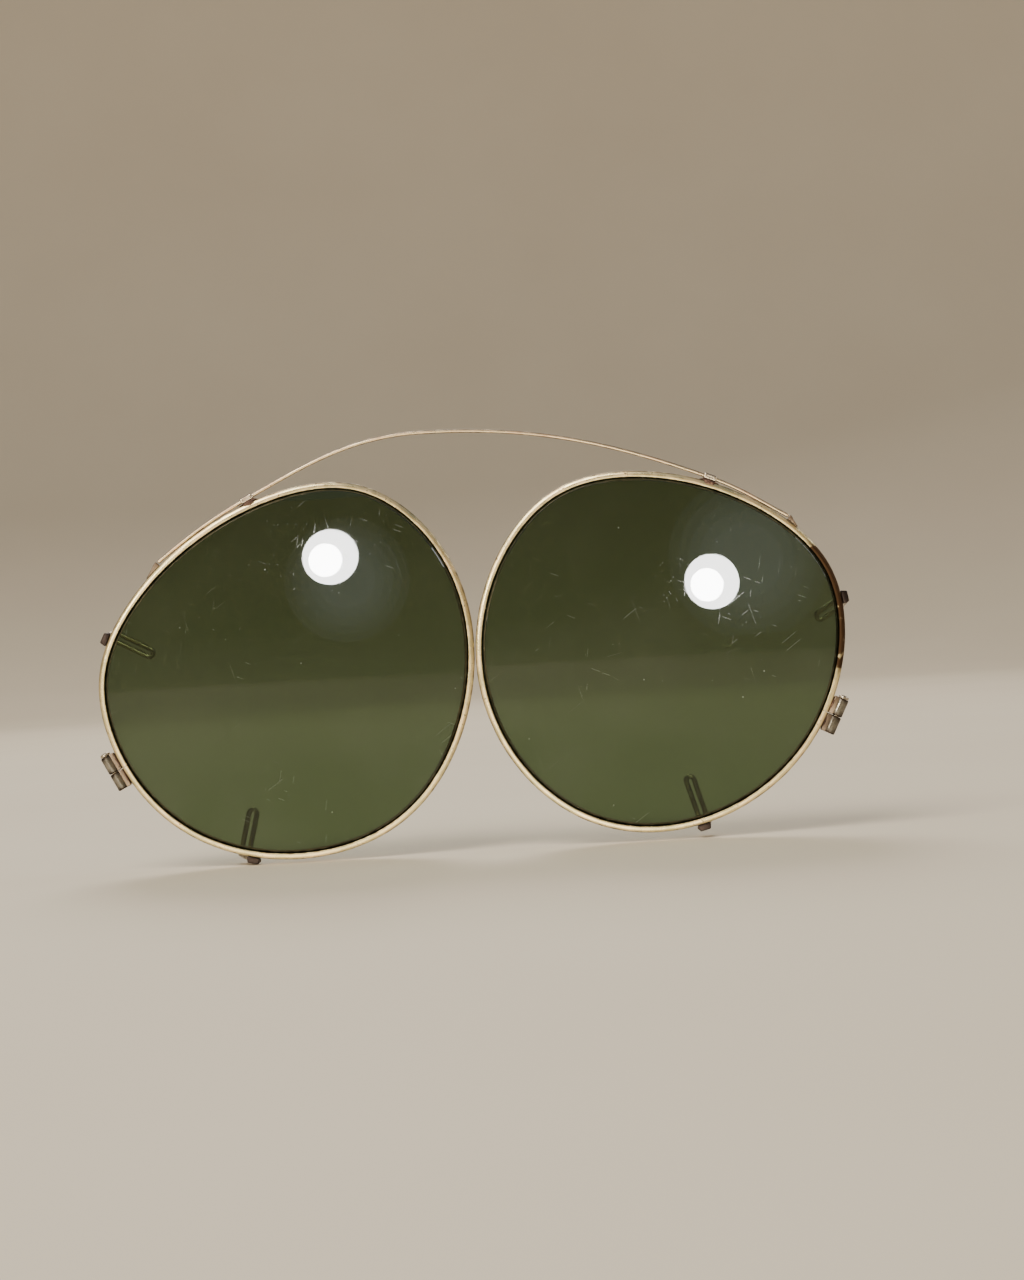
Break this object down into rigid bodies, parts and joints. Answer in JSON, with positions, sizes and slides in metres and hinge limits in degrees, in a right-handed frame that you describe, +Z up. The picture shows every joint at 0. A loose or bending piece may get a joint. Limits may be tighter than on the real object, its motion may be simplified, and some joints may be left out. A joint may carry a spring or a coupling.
{
  "type": "clip-on sunglasses",
  "caption": "Wire-rimmed tinted lenses joined by an arched spring wire, clipped over spectacles by hairpin hooks.",
  "frame": {"origin": "midway between the two rims at the height of the lenses, on the plane where the front of a pair of spectacles lies behind the rims", "axes": "+X to the viewer's right as seen from the front, +Z up as worn, the lenses face -Y and the spectacles are behind at +Y"},
  "size_m": [0.1064, 0.0105, 0.0593],
  "materials": {
    "gold": "worn gold-filled wire, polished",
    "closing": "worn and tarnished, satin",
    "solder": "dark tarnished solder",
    "hook": "tarnished wire, polished where it rubs",
    "screw": "turned, slightly yellowed",
    "glass": "polished green tinted glass, fine scratches"
  },
  "bodies": {
    "bridge": {"bridge_spring_wire": "gold"},
    "left_eye": {"left_rim": "gold", "left_lens": "glass", "left_closing_upper": "closing", "left_closing_lower": "closing", "left_closing_screw": "screw", "left_wire_sleeve": "gold", "left_sleeve_pad": "solder", "left_wire_foot": "gold", "left_outer_hook_tab": "solder", "left_outer_hook": "hook", "left_lower_hook_tab": "solder", "left_lower_hook": "hook"},
    "right_eye": {"right_rim": "gold", "right_lens": "glass", "right_closing_upper": "closing", "right_closing_lower": "closing", "right_closing_screw": "screw", "right_wire_sleeve": "gold", "right_sleeve_pad": "solder", "right_wire_foot": "gold", "right_outer_hook_tab": "solder", "right_outer_hook": "hook", "right_lower_hook_tab": "solder", "right_lower_hook": "hook"}
  },
  "joints": [
    {"name": "left_eye_spread", "type": "hinge", "parent": "bridge", "child": "left_eye", "pos_m": [-0.018, -0.0012, 0.031], "axis": [0, 1, 0], "range_deg": [0, 20], "stiffness_Nm_per_rad": 0.02, "deforming": ["bridge_spring_wire"]},
    {"name": "right_eye_spread", "type": "hinge", "parent": "bridge", "child": "right_eye", "pos_m": [0.017, -0.0012, 0.0306], "axis": [0, -1, 0], "range_deg": [0, 20], "stiffness_Nm_per_rad": 0.02, "deforming": ["bridge_spring_wire"]}
  ]
}
